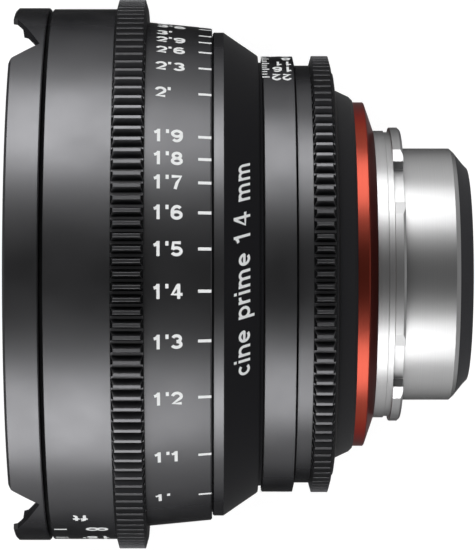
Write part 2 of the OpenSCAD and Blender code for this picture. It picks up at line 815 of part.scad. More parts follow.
module focus_drive_key() {
    color("#b08d3f") around(drive_key_angle) difference() {
        drive_key_block(0);
        drive_key_screw(seat_gap);
    }
}

module focus_drive_key_screw() {
    color("#8f9092") around(drive_key_angle) difference() {
        drive_key_screw(0);
        translate([x_drive_key, 0, drive_screw_top + screw_land]) socket();
    }
}

module helicoid_ring() {
    color("#c9a24c") difference() {
        ring(front_bore_r - running, nut_bore_r, x_nut, nut_len);
        around(drive_key_angle) drive_key_block(seat_gap);
    }
}

module carriage() {
    ledge_r = carriage_rear_bore_r - carriage_ledge_w;
    x_web_front = x_carriage_step - carriage_web_t;
    color("#3a3a3d") difference() {
        turned([[carriage_bore_r, x_carriage], [carriage_r, x_carriage], [carriage_r, x_carriage_step],
            [carriage_rear_r, x_carriage_step], [carriage_rear_r, x_carriage_end],
            [carriage_rear_bore_r, x_carriage_end], [carriage_rear_bore_r, x_base], [ledge_r, x_base],
            [ledge_r, x_web_front], [carriage_bore_r, x_web_front]]);
        for (a = guide_angles) around(a)
            translate([x_guide_key - travel_back - key_room, -guide_key_w / 2 - running,
                carriage_r - guide_key_depth - key_gap])
                cube([guide_key_len + carriage_len, guide_key_w + 2 * running, carriage_r]);
        carriage_pin_slot(carriage_rear_r + over, ledge_r);
    }
}

// The opening in the carriage for the iris drive pin, which stays behind when the carriage slides
module carriage_pin_slot(outer_r, inner_r) {
    room = iris_pin_r + 0.4;
    iris_pin_slot(outer_r, inner_r, room + travel_back, room + travel_forward);
}

module carriage_retaining_ring() {
    color("#2a2a2d") difference() {
        ring(carriage_rear_bore_r - seat_gap, carriage_rear_bore_r - lock_ring_wall, x_rear_flange_end, lock_ring_len);
        spanner_slots(x_rear_flange_end + lock_ring_len, carriage_rear_bore_r);
    }
}

module front_cell() {
    bore_1 = rim_1 + seat_gap;
    bore_2 = rim_2 + seat_gap;
    bore_3 = rim_3 + seat_gap;
    ring_1_r = rim_1 + lock_1_wall;
    ring_2_r = rim_2 + lock_2_wall;
    body_r = carriage_bore_r - seat_gap;
    mouth_r = front_lip_r - front_lip_w;
    x_lock_1 = x_rim_1 - lock_1_len;
    step_r = (mouth_r - ring_1_r) / baffle_steps;
    step_x = (x_lock_1 - x_front_cell) / baffle_steps;
    x_e1_end = x_rim_1 + rim_1_len;
    funnel = [for (i = [0:baffle_steps - 1], out = [0, 1]) [ring_1_r + (i + out) * step_r, x_lock_1 - i * step_x]];
    color("#222224") turned(concat([[mouth_r, x_front_cell], [front_lip_r, x_front_cell + 0.6],
        [front_lip_r, x_carriage], [body_r, x_carriage], [body_r, x_e1_end + 3],
        [front_cell_hub_r, x_rim_3], [front_cell_hub_r, x_front_cell_end], [bore_3, x_front_cell_end],
        [bore_3, x_rim_3], [rim_3 - 1.5, x_rim_3], [rim_3 - 1.5, x_rim_2 + rim_2_len],
        [bore_2, x_rim_2 + rim_2_len], [bore_2, x_rim_2], [ring_2_r, x_rim_2], [ring_2_r, x_e1_end],
        [bore_1, x_e1_end], [bore_1, x_rim_1], [ring_1_r, x_rim_1]], funnel));
}

module element_1() {
    color("#2f3550") element(rim_1, x_rim_1, rim_1_len, front_bends[0], rim_1 - clear_edge,
        rim_1 - hollow_edges[0]);
}

module front_retaining_ring() {
    color("#1b1b1d") difference() {
        ring(rim_1 + lock_1_wall - seat_gap, rim_1 - lock_1_lip, x_rim_1 - lock_1_len, lock_1_len);
        spanner_slots(x_rim_1 - lock_1_len, rim_1 + lock_1_wall);
    }
}

module element_2() {
    color("#2f3550") element(rim_2, x_rim_2, rim_2_len, front_bends[1], rim_2 - clear_edge,
        rim_2 - hollow_edges[1]);
}

module second_retaining_ring() {
    color("#1b1b1d") ring(rim_2 + lock_2_wall - seat_gap, rim_2 - ring_bore, x_rim_2 - ring_2_len, ring_2_len);
}

module element_3() {
    color("#2f3550") element(rim_3, x_rim_3, rim_3_len, front_bends[2], rim_3 - clear_edge,
        rim_3 - hollow_edges[2]);
}

module third_retaining_ring() {
    color("#1b1b1d") ring(rim_3, rim_3 - lock_3_wall, x_rim_3 + rim_3_len, x_front_cell_end - x_rim_3 - rim_3_len);
}

module iris_housing() {
    hub_r = rim_4 + hub_4_wall;
    rim = carriage_rear_bore_r - seat_gap;
    wall_r = cam_r + running + iris_wall;
    bore_r = rim_4 + seat_gap;
    color("#2a2a2d") difference() {
        turned([[bore_r, x_rim_4 - ring_4_len], [hub_r, x_rim_4 - ring_4_len], [hub_r, x_base], [rim, x_base],
            [rim, x_base_back], [wall_r, x_base_back], [wall_r, x_cover], [cam_r + running, x_cover],
            [cam_r + running, x_base_back], [aperture_r, x_base_back], [aperture_r, x_base],
            [rim_4 - seat_4, x_base], [rim_4 - seat_4, x_rim_5 + rim_5_len], [bore_r, x_rim_5 + rim_5_len]]);
        for (i = [0:blade_count - 1]) around(i * 360 / blade_count)
            translate([x_base_back - pivot_depth - 0.2, 0, pivot_r]) rotate([0, 90, 0])
                cylinder(r = pivot_pin_r + running, h = pivot_depth + 0.2 + over / 2);
        fork_opening();
    }
}

// The opening in the iris housing's wall that the fork's arm swings in
module fork_opening() {
    half = asin((iris_pin_r + fork_w + 0.6) / cam_r);
    arc_slot(cam_r + iris_wall + 2 * over, cam_r - 0.5, x_base_back, x_cover - x_base_back,
        fork_angle - iris_to_open - half, fork_angle + iris_to_closed + half);
}

module element_4() {
    color("#2f3550") element(rim_4, x_rim_4, rim_4_len, middle_bends[0], rim_4 - clear_edge, rim_4 - clear_edge);
}

module element_5() {
    color("#2f3550") element(rim_4, x_rim_5, rim_5_len, middle_bends[1], rim_4 - clear_edge, rim_4 - clear_edge, seat_gap);
}

module fourth_retaining_ring() {
    color("#1b1b1d") ring(rim_4, rim_4 - seat_4, x_rim_4 - ring_4_len, ring_4_len);
}

module iris_spacer() {
    color("#2a2a2d") difference() {
        ring(carriage_rear_bore_r - seat_gap, carriage_rear_bore_r - 1.5, x_base_back, x_rear_cell - x_base_back);
        carriage_pin_slot(carriage_rear_bore_r + over, carriage_rear_bore_r - 2);
    }
}

module iris_cover() {
    color("#2a2a2d") ring(cam_r + running + iris_wall, rim_6 - ring_bore, x_cover, cover_t);
}

module rear_cell() {
    bores = [rim_6 + seat_gap, rim_8 + seat_gap, rim_10 + seat_gap, rim_11 + seat_gap];
    bore_5 = rim_8 - ring_bore;
    bore_6 = rim_10 - ring_bore;
    color("#222224") turned([[rim_6 - ring_bore, x_rear_cell], [carriage_rear_bore_r - seat_gap, x_rear_cell],
        [carriage_rear_bore_r - seat_gap, x_rear_flange_end], [rear_cell_r, x_rear_flange_end],
        [rear_cell_r, x_rear_cell_end - rear_cell_taper], [rear_cell_tip_r, x_rear_cell_end],
        [bores[3], x_rear_cell_end], [bores[3], x_spacer], [bores[2], x_spacer], [bores[2], x_rim_10],
        [bore_6, x_rim_10], [bore_6, x_ring_6], [bores[1], x_ring_6], [bores[1], x_rim_8], [bore_5, x_rim_8],
        [bore_5, x_ring_5], [bores[0], x_ring_5], [bores[0], x_rim_6], [rim_6 - ring_bore, x_rim_6]]);
}

module element_6() {
    color("#2f3550") element(rim_6, x_rim_6, rim_6_len, rear_bends[0], rim_6 - clear_edge, rim_6 - clear_edge);
}

module element_7() {
    color("#2f3550") element(rim_6, x_rim_7, rim_7_len, rear_bends[1], rim_6 - clear_edge, rim_6 - clear_edge, seat_gap);
}

module fifth_retaining_ring() {
    color("#1b1b1d") ring(rim_8 - ring_bore - seat_gap, rim_6 - ring_bore, x_ring_5, ring_5_len);
}

module element_8() {
    color("#2f3550") element(rim_8, x_rim_8, rim_8_len, rear_bends[2], rim_8 - clear_edge, rim_8 - clear_edge);
}

module element_9() {
    color("#2f3550") element(rim_8, x_rim_9, rim_9_len, rear_bends[3], rim_8 - clear_edge, rim_8 - clear_edge, seat_gap);
}

module sixth_retaining_ring() {
    color("#1b1b1d") ring(rim_10 - ring_bore - seat_gap, rim_8 - ring_bore, x_ring_6, ring_6_len);
}

module element_10() {
    color("#2f3550") element(rim_10, x_rim_10, rim_10_len, rear_bends[4], rim_10 - clear_edge, rim_10 - clear_edge);
}

module rear_spacer() {
    color("#1b1b1d") ring(rim_11, rim_10 - ring_bore, x_spacer, spacer_len);
}

module element_11() {
    color("#2f3550") element(rim_11, x_rim_11, rim_11_len, rear_bends[5], rim_11 - clear_edge, rim_11 - clear_edge);
}

module rear_retaining_ring() {
    color("#1b1b1d") difference() {
        ring(rim_11, rim_11 - ring_bore, x_ring_7, ring_7_len);
        spanner_slots(x_ring_7 + ring_7_len, rim_11);
    }
}

module iris_ring() {
    bore_r = rear_tube_r + running;
    seat_r = iris_gear_bore_r - seat_gap;
    edge = 0.25;
    color("#19191b") difference() {
        turned([[bore_r, x_iris_front], [iris_band_r - edge, x_iris_front], [iris_band_r, x_iris_front + edge],
            [iris_band_r, x_iris_band], [iris_neck_r, x_iris_neck], [iris_neck_r, x_iris_gear], [seat_r, x_iris_gear],
            [seat_r, x_iris_end], [bore_r, x_iris_end]]);
        around(fork_angle) iris_pin_hole();
    }
}

// The blind hole in the iris ring that holds the drive pin
module iris_pin_hole() {
    translate([x_iris_pin, 0, 0]) cylinder(r = iris_pin_r + seat_gap, h = iris_pin_top + seat_gap);
}

module iris_gear() {
    color("#161618") gear_ring(iris_teeth, iris_gear_bore_r, x_iris_gear, iris_gear_w);
}

module iris_drive_pin() {
    color("#8f9092") around(fork_angle) translate([x_iris_pin, 0, iris_pin_inner_r])
        cylinder(r = iris_pin_r, h = iris_pin_top - iris_pin_inner_r);
}

// Where a blade's drive pin is after the blade has turned from open, about the pivot on the +Z side
function drive_pin_at(turned_by) = let (pivot = [pivot_r, 0])
    pivot + turn(polar(pivot_r, drive_pin_angle) - pivot, turned_by);

// The same place seen from the cam ring, which turns faster than the blade and is drawn at rest
function cam_path(turned_by) = turn(drive_pin_at(turned_by), iris_to_open - turned_by / blade_ratio);

// One curved slot of the cam ring
module cam_slot() {
    spare = 0.4;
    steps = 12;
    half = drive_pin_r + running;
    path = [for (i = [0:steps]) cam_path(-spare + (blade_turn + 2 * spare) * i / steps)];
    along = [for (i = [0:steps]) path[min(i + 1, steps)] - path[max(i - 1, 0)]];
    side = [for (v = along) half * [-v[1], v[0]] / norm(v)];
    polygon(concat([for (i = [0:steps]) path[i] + side[i]], [for (i = [steps:-1:0]) path[i] - side[i]]));
    for (p = [path[0], path[steps]]) translate(p) circle(half);
}

module iris_cam_ring() {
    inner_r = pivot_r - 4.5;
    arm_w = 2 * (iris_pin_r + running + fork_w);
    fork_x = x_iris_pin - iris_pin_r - travel_back - 0.4;
    fork_len = 2 * iris_pin_r + travel_back + travel_forward + 0.8;
    color("#b08d3f") difference() {
        union() {
            difference() {
                ring(cam_r, inner_r, x_cam, cam_t);
                plate(x_cam - over, cam_t + 2 * over)
                    for (i = [0:blade_count - 1]) rotate(i * 360 / blade_count) cam_slot();
            }
            around(fork_angle) translate([x_cam, -arm_w / 2, cam_r - 0.6])
                cube([cam_t, arm_w, fork_gap_r - cam_r + 0.6]);
            around(fork_angle) translate([fork_x, -arm_w / 2, fork_gap_r - 0.2])
                cube([fork_len, arm_w, fork_r - fork_gap_r]);
        }
        around(fork_angle) translate([fork_x - over, -iris_pin_r - running, fork_gap_r + 1])
            cube([fork_len + 2 * over, 2 * (iris_pin_r + running), fork_r]);
    }
}

// One blade: a curved strip with an ear that carries its pivot pin and its drive pin
module blade(i) {
    x = x_blades + i * blade_pitch;
    color("#3c3d40") around(i * 360 / blade_count) {
        plate(x, blade_t) blade_at_rest() blade_outline();
        plate(x_base_back - pivot_depth, x - x_base_back + pivot_depth + blade_t / 2)
            translate([pivot_r, 0]) circle(pivot_pin_r);
        plate(x + blade_t / 2, x_cam + drive_depth - x - blade_t / 2)
            translate(drive_pin_at(blade_rest)) circle(drive_pin_r);
    }
}

// Turns a flat blade from open to its place at rest
module blade_at_rest() {
    translate([pivot_r, 0]) rotate(blade_rest) translate([-pivot_r, 0]) children();
}

module blade_outline() {
    intersection() {
        difference() {
            circle(blade_outer_r);
            circle(blade_inner_r);
        }
        sector(blade_outer_r + over, blade_start, blade_end);
    }
    intersection() {
        difference() {
            circle(blade_ear_r);
            circle(blade_outer_r - blade_ear_overlap);
        }
        sector(blade_ear_r + over, blade_start + 1, drive_pin_angle + 4);
    }
}

front_ring();
main_barrel();
dust_ring();
helicoid_retaining_ring();
guide_keys();
guide_key_screws();
index_barrel();
index_barrel_screws();
rear_barrel();
rear_barrel_screws();
red_ring();
mount_shim();
pl_mount();
mount_screws();
rear_baffle();
focus_ring();
focus_gear();
focus_drive_key();
focus_drive_key_screw();
helicoid_ring();
carriage();
carriage_retaining_ring();
front_cell();
element_1();
front_retaining_ring();
element_2();
second_retaining_ring();
element_3();
third_retaining_ring();
iris_housing();
element_4();
element_5();
fourth_retaining_ring();
iris_spacer();
iris_cover();
rear_cell();
element_6();
element_7();
fifth_retaining_ring();
element_8();
element_9();
sixth_retaining_ring();
element_10();
rear_spacer();
element_11();
rear_retaining_ring();
iris_ring();
iris_gear();
iris_drive_pin();
iris_cam_ring();
for (i = [1:blade_count]) blade(i - 1);
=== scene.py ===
import math

import bpy
import numpy as np
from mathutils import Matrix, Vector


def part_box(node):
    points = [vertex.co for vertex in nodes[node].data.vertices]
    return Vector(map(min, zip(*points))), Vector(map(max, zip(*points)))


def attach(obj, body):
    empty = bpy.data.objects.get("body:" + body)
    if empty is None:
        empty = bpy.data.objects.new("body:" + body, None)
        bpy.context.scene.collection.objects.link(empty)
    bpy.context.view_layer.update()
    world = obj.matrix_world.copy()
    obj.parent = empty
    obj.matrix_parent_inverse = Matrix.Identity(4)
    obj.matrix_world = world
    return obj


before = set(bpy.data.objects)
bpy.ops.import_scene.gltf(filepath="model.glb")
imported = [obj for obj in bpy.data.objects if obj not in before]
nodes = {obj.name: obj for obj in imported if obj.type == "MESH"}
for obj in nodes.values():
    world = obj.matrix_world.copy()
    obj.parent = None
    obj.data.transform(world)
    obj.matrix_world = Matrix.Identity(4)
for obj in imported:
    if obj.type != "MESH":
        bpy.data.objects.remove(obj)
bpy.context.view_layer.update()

# Studio: the lens lies on a pale table and the camera hangs over it, looking straight down.
# A long softbox stands on each side of the lens, and the ceiling above is dim, so that every
# turned surface shows two bright bands with a dark one between them. A fill lamp above the camera
# lights paint and table, and is kept out of the reflections.
camera = bpy.data.cameras.new("overhead_camera")
camera.sensor_width = 36
camera.lens = 210
camera.shift_x = 0.0427
overhead = bpy.data.objects.new("overhead_camera", camera)
overhead.location = (-0.0396, -0.0002, 0.690)
bpy.context.scene.collection.objects.link(overhead)
bpy.context.scene.camera = overhead
bpy.context.scene.view_settings.view_transform = "Standard"

softbox_x = -0.14
softbox_distance = 0.6
softbox_length = 0.36
# Each softbox has a bright lower panel and a faint upper one: tilt in degrees, height, radiance.
softbox_panels = ((28, 0.42, 4.0), (56, 0.22, 0.45))
for degrees, panel_height, radiance in softbox_panels:
    tilt = math.radians(degrees)
    reach = softbox_distance * math.cos(tilt)
    for side in (-1, 1):
        softbox = bpy.data.lights.new("softbox", "AREA")
        softbox.shape = "RECTANGLE"
        softbox.size = softbox_length
        softbox.size_y = panel_height
        softbox.energy = radiance * math.pi * softbox_length * panel_height
        stand = bpy.data.objects.new("softbox", softbox)
        stand.location = (softbox_x, side * reach, softbox_distance * math.sin(tilt))
        stand.rotation_euler = (-side * (math.pi / 2 - tilt), 0, 0)
        bpy.context.scene.collection.objects.link(stand)

fill_x = -0.04
fill_height = 1.0
fill_side = 0.6
fill_radiance = 4.0
fill_lamp = bpy.data.lights.new("fill_lamp", "AREA")
fill_lamp.size = fill_side
fill_lamp.energy = fill_radiance * math.pi * fill_side * fill_side
overhead_fill = bpy.data.objects.new("fill_lamp", fill_lamp)
overhead_fill.location = (fill_x, 0, fill_height)
overhead_fill.visible_glossy = False
bpy.context.scene.collection.objects.link(overhead_fill)


def linear(hex_colour):
    """sRGB hex to linear: c / 12.92 below 0.04045, else ((c + 0.055) / 1.055) to the power 2.4."""
    c = np.array([int(hex_colour[i:i + 2], 16) for i in (1, 3, 5)]) / 255
    c = np.where(c < 0.04045, c / 12.92, ((c + 0.055) / 1.055) ** 2.4)
    return (*c.tolist(), 1.0)


def add_node(tree, kind, inputs, **settings):
    """Adds a node, sets its settings, and fills each input with a value or links it to an output."""
    made = tree.nodes.new(kind)
    for name, value in settings.items():
        setattr(made, name, value)
    for name, value in inputs.items():
        if isinstance(value, bpy.types.NodeSocket):
            tree.links.new(value, made.inputs[name])
        else:
            made.inputs[name].default_value = value
    return made


world = bpy.data.worlds.new("dim_studio")
bpy.context.scene.world = world
world.use_nodes = True
tree = world.node_tree
around = add_node(tree, "ShaderNodeTexCoord", {})
up = add_node(tree, "ShaderNodeSeparateXYZ", {0: around.outputs["Generated"]})
wall = add_node(tree, "ShaderNodeMapRange", {"Value": up.outputs["Z"], "From Min": 0.0, "From Max": 0.16,
                                             "To Min": 0.5, "To Max": 0.07}, interpolation_type="SMOOTHSTEP")
# The camera itself sees a white backdrop behind the table.
ray = add_node(tree, "ShaderNodeLightPath", {})
backdrop = add_node(tree, "ShaderNodeMapRange", {"Value": ray.outputs["Is Camera Ray"],
                                                 "To Min": wall.outputs["Result"], "To Max": 0.95})
tree.nodes["Background"].inputs["Color"].default_value = linear("#ffffff")
tree.links.new(backdrop.outputs["Result"], tree.nodes["Background"].inputs["Strength"])

# Table: a large matt white sheet that the lens lies on with the teeth of its focus gear.
# It glows white for the camera and faintly in reflections, and the shadow of the lens stays on it.
# The faint glow in reflections is painted shade, for the sheet near the lens lying in its shade.
table_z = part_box("focus_gear")[0].z
table_half = 4.0
mesh = bpy.data.meshes.new("table")
mesh.from_pydata([(x, y, table_z) for x, y in ((-table_half, -table_half), (table_half, -table_half),
                                               (table_half, table_half), (-table_half, table_half))],
                 [], [(0, 1, 2, 3)])
table = bpy.data.objects.new("table", mesh)
bpy.context.scene.collection.objects.link(table)
matt_sheet = bpy.data.materials.new("matt_white_sheet")
matt_sheet.use_nodes = True
tree = matt_sheet.node_tree
tree.nodes.remove(tree.nodes["Principled BSDF"])
paper = add_node(tree, "ShaderNodeBsdfDiffuse", {"Color": linear("#d9d9d9")})
faint_paper = add_node(tree, "ShaderNodeBsdfDiffuse", {"Color": linear("#a0a0a0")})
ray = add_node(tree, "ShaderNodeLightPath", {})
# Glow strength: 0.8 for the camera and 0.2 in reflections, where it paints the shade of the sheet.
strength = add_node(tree, "ShaderNodeMapRange", {"Value": ray.outputs["Is Camera Ray"],
                                                 "To Min": 0.2, "To Max": 0.8})
glow = add_node(tree, "ShaderNodeEmission", {"Color": linear("#ffffff"),
                                             "Strength": strength.outputs["Result"]})
white = add_node(tree, "ShaderNodeAddShader", {0: faint_paper.outputs[0], 1: glow.outputs[0]})
direct = add_node(tree, "ShaderNodeMath", {0: ray.outputs["Is Camera Ray"], 1: ray.outputs["Is Glossy Ray"]},
                  operation="MAXIMUM")
seen = add_node(tree, "ShaderNodeMath", {0: direct.outputs[0], 1: ray.outputs["Is Transmission Ray"]},
                operation="MAXIMUM")
sheet = add_node(tree, "ShaderNodeMixShader", {0: seen.outputs[0], 1: paper.outputs[0], 2: white.outputs[0]})
tree.links.new(sheet.outputs[0], tree.nodes["Material Output"].inputs["Surface"])
mesh.materials.append(matt_sheet)

# Main barrel, dust ring, carriage, lens cells and light baffles: the inside of the lens. They are
# turned from aluminium, blasted and anodised dull black so that no light is scattered inside.
matt_black = bpy.data.materials.new("dull_black_anodised_aluminium")
matt_black.use_nodes = True
tree = matt_black.node_tree
shader = tree.nodes["Principled BSDF"]
shader.inputs["Base Color"].default_value = linear("#232325")
shader.inputs["Specular IOR Level"].default_value = 0.2
place = add_node(tree, "ShaderNodeTexCoord", {})
# Blasted pits are about 0.1 mm wide. They are drawn 0.4 mm wide so that they show.
pit_width = 0.0004
pits = add_node(tree, "ShaderNodeTexNoise", {"Vector": place.outputs["Object"], "Scale": 1 / pit_width,
                                             "Detail": 3.0})
dull = add_node(tree, "ShaderNodeMapRange", {"Value": pits.outputs["Fac"], "To Min": 0.5, "To Max": 0.72})
rough = add_node(tree, "ShaderNodeBump", {"Height": pits.outputs["Fac"], "Strength": 0.2,
                                          "Distance": 0.00004})
tree.links.new(dull.outputs["Result"], shader.inputs["Roughness"])
tree.links.new(rough.outputs["Normal"], shader.inputs["Normal"])
for name in ("main_barrel", "dust_ring", "carriage", "carriage_retaining_ring", "front_cell", "rear_cell",
             "iris_housing", "iris_spacer", "iris_cover", "rear_spacer", "front_retaining_ring",
             "second_retaining_ring", "third_retaining_ring", "fourth_retaining_ring", "fifth_retaining_ring",
             "sixth_retaining_ring", "rear_retaining_ring"):
    nodes[name].data.materials.clear()
    nodes[name].data.materials.append(matt_black)

# Focusing nut, its lock ring, the guide keys, the drive key and the iris cam ring: brass, because
# brass runs well on anodised aluminium. They are turned and milled, with fine tool marks.
brass = bpy.data.materials.new("machined_brass")
brass.use_nodes = True
tree = brass.node_tree
shader = tree.nodes["Principled BSDF"]
shader.inputs["Metallic"].default_value = 1.0
place = add_node(tree, "ShaderNodeTexCoord", {})
axis = add_node(tree, "ShaderNodeSeparateXYZ", {0: place.outputs["Object"]})
# Tool marks follow the feed of the cutter, 0.15 mm a turn.
brass_feed = 0.00015
film_patch = 0.006
feed = add_node(tree, "ShaderNodeMath", {0: axis.outputs["X"], 1: 1 / brass_feed}, operation="MULTIPLY")
marks = add_node(tree, "ShaderNodeTexNoise", {"W": feed.outputs[0], "Scale": 1.0, "Detail": 2.0},
                 noise_dimensions="1D")
film = add_node(tree, "ShaderNodeTexNoise", {"Vector": place.outputs["Object"], "Scale": 1 / film_patch,
                                             "Detail": 3.0})
tone = add_node(tree, "ShaderNodeValToRGB", {"Fac": film.outputs["Fac"]})
tone.color_ramp.elements[0].color = linear("#b08a45")
tone.color_ramp.elements[1].color = linear("#d2ae62")
polish = add_node(tree, "ShaderNodeMapRange", {"Value": marks.outputs["Fac"], "To Min": 0.24, "To Max": 0.4})
ridges = add_node(tree, "ShaderNodeBump", {"Height": marks.outputs["Fac"], "Strength": 0.15,
                                           "Distance": 0.00002})
tree.links.new(tone.outputs["Color"], shader.inputs["Base Color"])
tree.links.new(polish.outputs["Result"], shader.inputs["Roughness"])
tree.links.new(ridges.outputs["Normal"], shader.inputs["Normal"])
for name in ("helicoid_ring", "helicoid_retaining_ring", "guide_keys", "focus_drive_key", "iris_cam_ring"):
    nodes[name].data.materials.clear()
    nodes[name].data.materials.append(brass)

# Glass elements: ground and polished optical glass with an anti-reflection layer. The layer is a
# quarter wave of magnesium fluoride, which leaves a faint violet reflection.
coated_glass = bpy.data.materials.new("coated_optical_glass")
coated_glass.use_nodes = True
tree = coated_glass.node_tree
shader = tree.nodes["Principled BSDF"]
shader.inputs["Base Color"].default_value = linear("#f6f9f8")
shader.inputs["Transmission Weight"].default_value = 1.0
shader.inputs["IOR"].default_value = 1.62
shader.inputs["Thin Film Thickness"].default_value = 118.0
shader.inputs["Thin Film IOR"].default_value = 1.38
place = add_node(tree, "ShaderNodeTexCoord", {})
dust_patch = 0.003
dust = add_node(tree, "ShaderNodeTexNoise", {"Vector": place.outputs["Object"], "Scale": 1 / dust_patch,
                                             "Detail": 4.0})
haze = add_node(tree, "ShaderNodeMapRange", {"Value": dust.outputs["Fac"], "From Min": 0.55, "From Max": 0.85,
                                             "To Min": 0.0, "To Max": 0.006})
tree.links.new(haze.outputs["Result"], shader.inputs["Roughness"])
element_count = 11
for number in range(1, element_count + 1):
    element = nodes[f"element_{number}"]
    element.data.materials.clear()
    element.data.materials.append(coated_glass)

# Iris blades: thin spring steel, etched to shape and coated dull black, sliding on each other.
# Sliding rubs the coat brighter in patches.
blade_coat = bpy.data.materials.new("black_coated_spring_steel")
blade_coat.use_nodes = True
tree = blade_coat.node_tree
shader = tree.nodes["Principled BSDF"]
shader.inputs["Metallic"].default_value = 0.6
place = add_node(tree, "ShaderNodeTexCoord", {})
rub_width = 0.0012
rub = add_node(tree, "ShaderNodeTexNoise", {"Vector": place.outputs["Object"], "Scale": 1 / rub_width,
                                            "Detail": 4.0})
coat = add_node(tree, "ShaderNodeValToRGB", {"Fac": rub.outputs["Fac"]})
coat.color_ramp.elements[0].color = linear("#1f1f22")
coat.color_ramp.elements[1].color = linear("#3a3a3e")
slick = add_node(tree, "ShaderNodeMapRange", {"Value": rub.outputs["Fac"], "To Min": 0.35, "To Max": 0.55})
tree.links.new(coat.outputs["Color"], shader.inputs["Base Color"])
tree.links.new(slick.outputs["Result"], shader.inputs["Roughness"])
blade_count = 9
for number in range(1, blade_count + 1):
    blade = nodes[f"blade_{number}"]
    blade.data.materials.clear()
    blade.data.materials.append(blade_coat)

# Screws and the iris drive pin: hardened steel, blackened in a hot salt bath and oiled.
# The finish is a thin grey-black film with brown tints.
blackened = bpy.data.materials.new("blackened_steel")
blackened.use_nodes = True
tree = blackened.node_tree
shader = tree.nodes["Principled BSDF"]
shader.inputs["Metallic"].default_value = 1.0
place = add_node(tree, "ShaderNodeTexCoord", {})
oil_patch = 0.0008
oil = add_node(tree, "ShaderNodeTexNoise", {"Vector": place.outputs["Object"], "Scale": 1 / oil_patch,
                                            "Detail": 3.0})
film = add_node(tree, "ShaderNodeValToRGB", {"Fac": oil.outputs["Fac"]})
film.color_ramp.elements[0].color = linear("#4a4745")
film.color_ramp.elements[1].color = linear("#6a6a6b")
gloss = add_node(tree, "ShaderNodeMapRange", {"Value": oil.outputs["Fac"], "To Min": 0.3, "To Max": 0.45})
tree.links.new(film.outputs["Color"], shader.inputs["Base Color"])
tree.links.new(gloss.outputs["Result"], shader.inputs["Roughness"])
for name in ("guide_key_screws", "index_barrel_screws", "rear_barrel_screws", "mount_screws",
             "focus_drive_key_screw", "iris_drive_pin"):
    nodes[name].data.materials.clear()
    nodes[name].data.materials.append(blackened)

# Focus ring and its gear: aluminium, turned, the teeth hobbed, all finely blasted and hard
# anodised satin black. The oxide goes grey where hands and gears rub the edges.
satin_black = bpy.data.materials.new("satin_black_hard_anodised_aluminium")
satin_black.use_nodes = True
tree = satin_black.node_tree
shader = tree.nodes["Principled BSDF"]
shader.inputs["Metallic"].default_value = 1.0
# A dark edge tint paints shade on the limb of a ring, which keeps it dark at a glancing angle.
shader.inputs["Specular Tint"].default_value = linear("#181818")
place = add_node(tree, "ShaderNodeTexCoord", {})
# Fine blasting leaves 0.06 mm pits. They are drawn 0.35 mm wide so that they show.
grain_width = 0.00035
handling_patch = 0.011
grain = add_node(tree, "ShaderNodeTexNoise", {"Vector": place.outputs["Object"], "Scale": 1 / grain_width,
                                              "Detail": 2.0})
handling = add_node(tree, "ShaderNodeTexNoise", {"Vector": place.outputs["Object"],
                                                 "Scale": 1 / handling_patch, "Detail": 4.0})
satin = add_node(tree, "ShaderNodeMapRange", {"Value": handling.outputs["Fac"],
                                              "From Min": 0.3, "From Max": 0.7,
                                              "To Min": 0.34, "To Max": 0.42})
# Edges are broken by 0.15 mm. Where the broken edge turns away from the flat face, the dye is rubbed.
edge_break = 0.00015
edge = add_node(tree, "ShaderNodeBevel", {"Radius": edge_break}, samples=4)
face = add_node(tree, "ShaderNodeNewGeometry", {})
bend = add_node(tree, "ShaderNodeVectorMath", {0: edge.outputs["Normal"], 1: face.outputs["Normal"]},
                operation="DOT_PRODUCT")
rubbed = add_node(tree, "ShaderNodeMapRange", {"Value": bend.outputs["Value"],
                                               "From Min": 0.97, "From Max": 0.8,
                                               "To Min": 0.0, "To Max": 0.3})
patchy = add_node(tree, "ShaderNodeMath", {0: rubbed.outputs["Result"], 1: handling.outputs["Fac"]},
                  operation="MULTIPLY")
dye = add_node(tree, "ShaderNodeMix", {"Factor": patchy.outputs[0]}, data_type="RGBA")
dye.inputs["A"].default_value = linear("#69696b")
dye.inputs["B"].default_value = linear("#909092")
blasted = add_node(tree, "ShaderNodeBump", {"Height": grain.outputs["Fac"], "Strength": 0.1,
                                            "Distance": 0.00002, "Normal": edge.outputs["Normal"]})
tree.links.new(dye.outputs["Result"], shader.inputs["Base Color"])
tree.links.new(satin.outputs["Result"], shader.inputs["Roughness"])
tree.links.new(blasted.outputs["Normal"], shader.inputs["Normal"])
for name in ("focus_ring", "focus_gear"):
    nodes[name].data.materials.clear()
    nodes[name].data.materials.append(satin_black)

# Focus scale: distances in feet with a tick for each, cut into the cone of the focus ring behind
# the gear and filled with white paint. Each distance has its own angle in degrees: up to 3 feet as
# in the photograph, and from there on along a curve fitted to those.
far_angle = 117.1
distances = [("1'", -59.3), ("1'1", -43.9), ("1'2", -27.8), ("1'3", -14.6), ("1'4", -3.7), ("1'5", 5.4),
             ("1'6", 13.3), ("1'7", 20.1), ("1'8", 25.7), ("1'9", 31.3), ("2'", 43.6), ("2'3", 52.8),
             ("2'6", 60.0), ("2'9", 65.7), ("3'", 70.6), ("3'6", 77.8), ("4'", 83.0), ("5'", 90.2),
             ("7'", 98.2), ("10'", 104.0), ("15'", 108.5), ("∞", far_angle)]
scale_height = 3.0
scale_weight = 0.21
scale_left = -51.65
tick_middle = -41.45
tick_size = (2.65, 0.62)
paint_rise = 0.03
paint_depth = 0.06


def arc(x, y, rx, ry, start, end):
    """Points on an ellipse: x + rx cos a, y + ry sin a, with a from `start` to `end` degrees."""
    a = np.radians(np.linspace(start, end, 2 + round(abs(end - start) / 15)))
    return np.stack([x + rx * np.cos(a), y + ry * np.sin(a)], 1)


